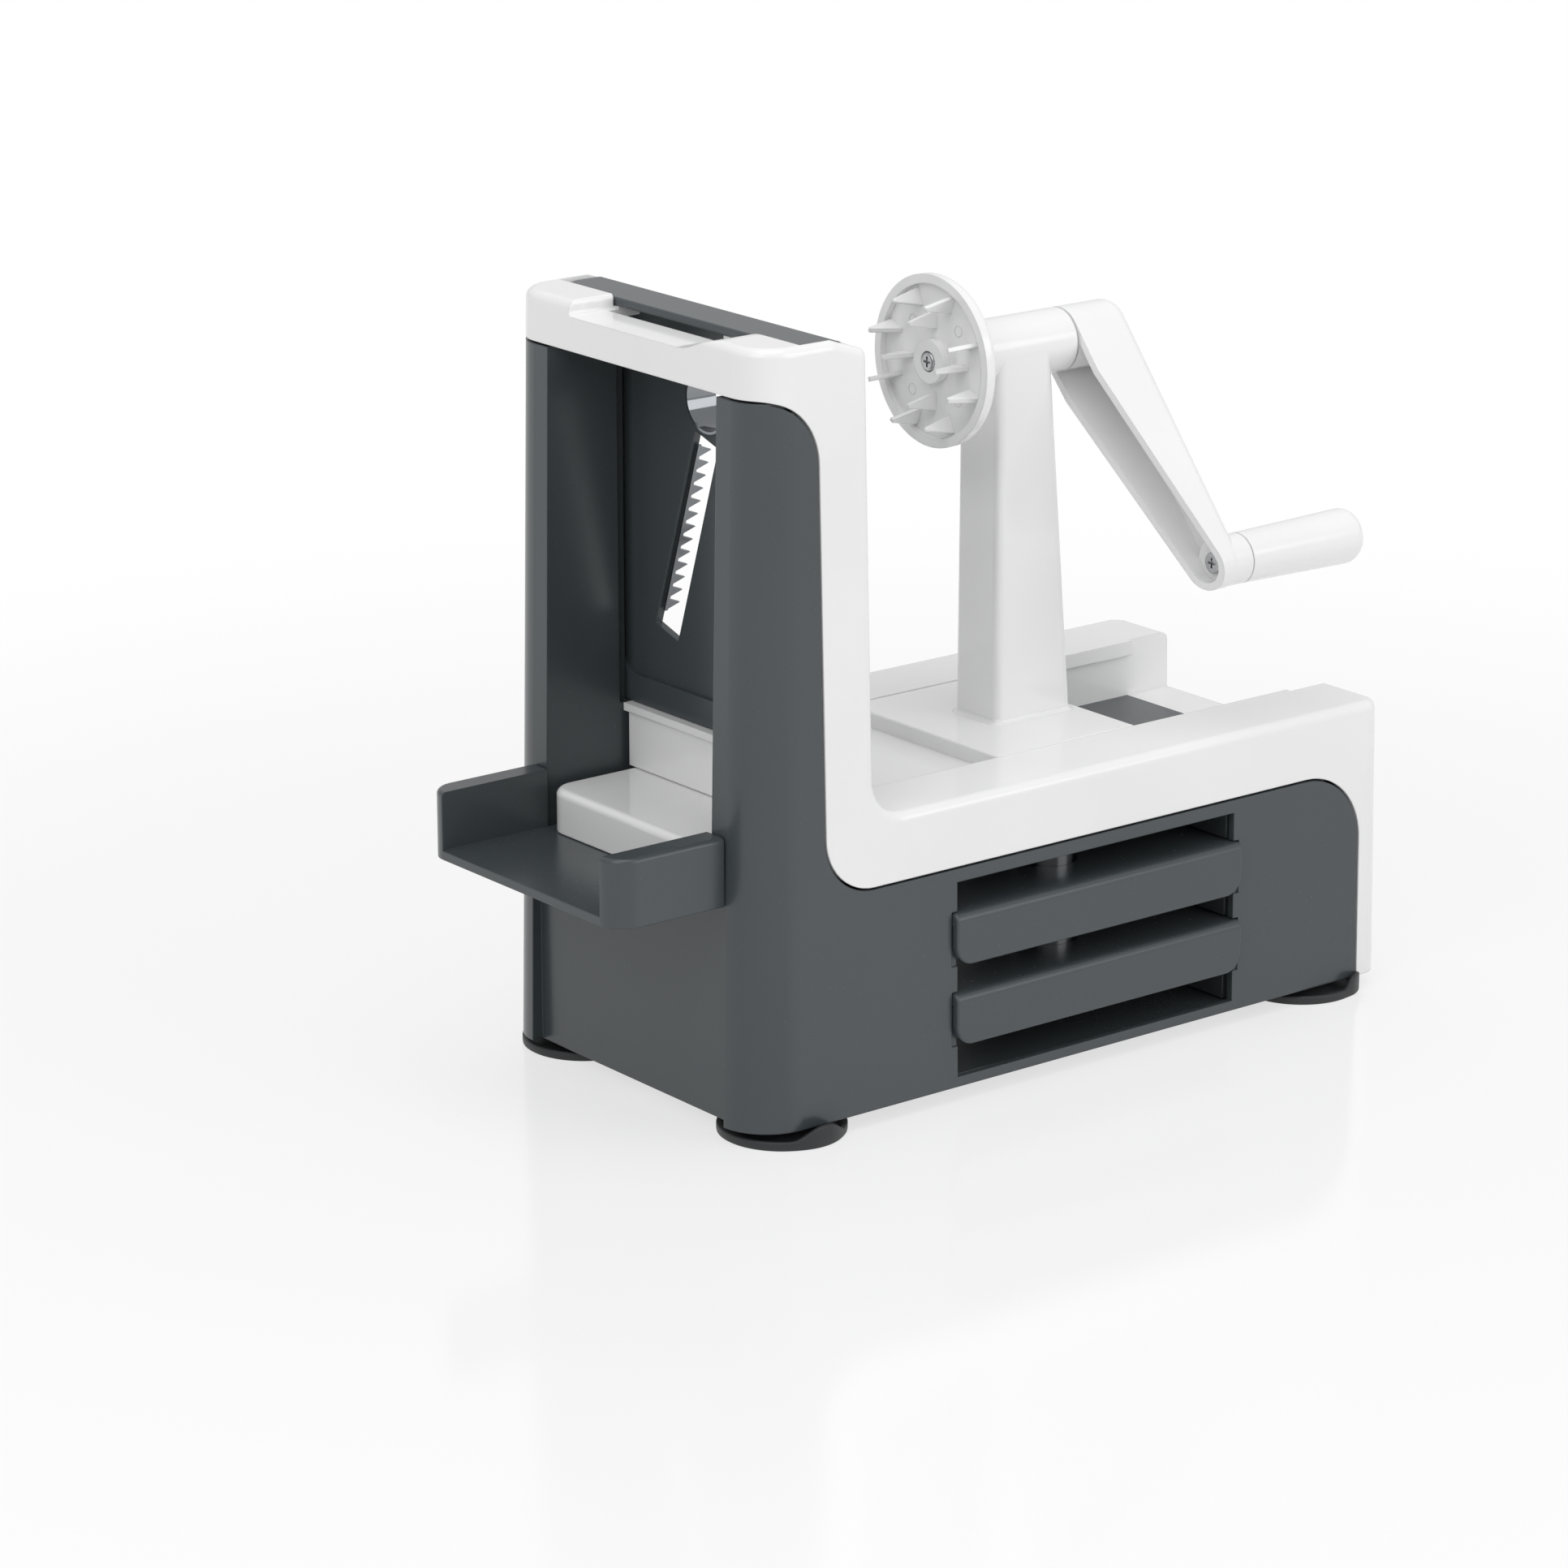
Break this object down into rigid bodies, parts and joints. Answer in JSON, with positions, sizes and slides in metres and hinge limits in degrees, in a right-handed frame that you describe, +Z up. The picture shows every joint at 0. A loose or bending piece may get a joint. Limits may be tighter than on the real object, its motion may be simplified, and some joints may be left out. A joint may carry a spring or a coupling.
{
  "type": "spiralizer with crank",
  "caption": "Hand-cranked spiralizer: two-shell housing with an upright blade plate, an outfeed tray, stored blade plates, suction feet and a sliding carriage with crank and food holder.",
  "frame": {"origin": "middle of the plan outline, on the table that the feet rest on", "axes": "+X from the outfeed tray to the crank end, +Y towards the long side away from the crank handle at rest, +Z up"},
  "size_m": [0.298, 0.142, 0.245],
  "materials": {
    "white_abs": "glossy moulded ABS",
    "plate_abs": "satin moulded ABS",
    "grey_abs": "satin moulded ABS",
    "foot_rubber": "smooth soft rubber",
    "blade_steel": "ground stainless steel",
    "screw_steel": "zinc plated screws",
    "shaft_steel": "turned steel",
    "bush_plastic": "acetal"
  },
  "bodies": {
    "base": {"lower_housing": "grey_abs", "upper_frame": "white_abs", "bottom_plate": "grey_abs", "storage_runner_front": "grey_abs", "storage_runner_rear": "grey_abs", "outfeed_tray": "grey_abs", "blade_sill": "white_abs", "suction_foot_front_near": "foot_rubber", "suction_foot_front_far": "foot_rubber", "suction_foot_rear_near": "foot_rubber", "suction_foot_rear_far": "foot_rubber", "housing_screws": "screw_steel"},
    "carriage": {"carriage_sled": "white_abs", "crank_column": "white_abs", "column_screws": "screw_steel", "front_bush": "bush_plastic", "rear_bush": "bush_plastic"},
    "crank": {"drive_shaft": "shaft_steel", "food_holder": "white_abs", "holder_screw": "screw_steel", "crank_arm": "white_abs", "grip_spindle": "shaft_steel", "grip_screw": "screw_steel"},
    "grip": {"crank_grip": "white_abs"},
    "mounted_blade_set": {"mounted_plate": "plate_abs", "mounted_blade": "blade_steel", "mounted_ring": "blade_steel", "mounted_comb": "blade_steel"},
    "upper_blade_set": {"upper_stored_plate": "plate_abs", "upper_stored_blade": "blade_steel", "upper_stored_ring": "blade_steel", "upper_stored_comb": "blade_steel"},
    "lower_blade_set": {"lower_stored_plate": "plate_abs", "lower_stored_blade": "blade_steel", "lower_stored_ring": "blade_steel"}
  },
  "joints": [
    {"name": "carriage_slide", "type": "slide", "parent": "base", "child": "carriage", "axis": [1, 0, 0], "range_m": [-0.066, 0.05]},
    {"name": "crank_spin", "type": "hinge", "parent": "carriage", "child": "crank", "pos_m": [0.062, 0, 0.216], "axis": [1, 0, 0], "continuous": true},
    {"name": "grip_spin", "type": "hinge", "parent": "crank", "child": "grip", "pos_m": [0.089, -0.05596, 0.15162], "axis": [1, 0, 0], "continuous": true},
    {"name": "blade_lift", "type": "slide", "parent": "base", "child": "mounted_blade_set", "axis": [0, 0, 1], "range_m": [0, 0.135]},
    {"name": "upper_blade_draw", "type": "slide", "parent": "base", "child": "upper_blade_set", "axis": [0, -1, 0], "range_m": [0, 0.135]},
    {"name": "lower_blade_draw", "type": "slide", "parent": "base", "child": "lower_blade_set", "axis": [0, -1, 0], "range_m": [0, 0.135]}
  ]
}
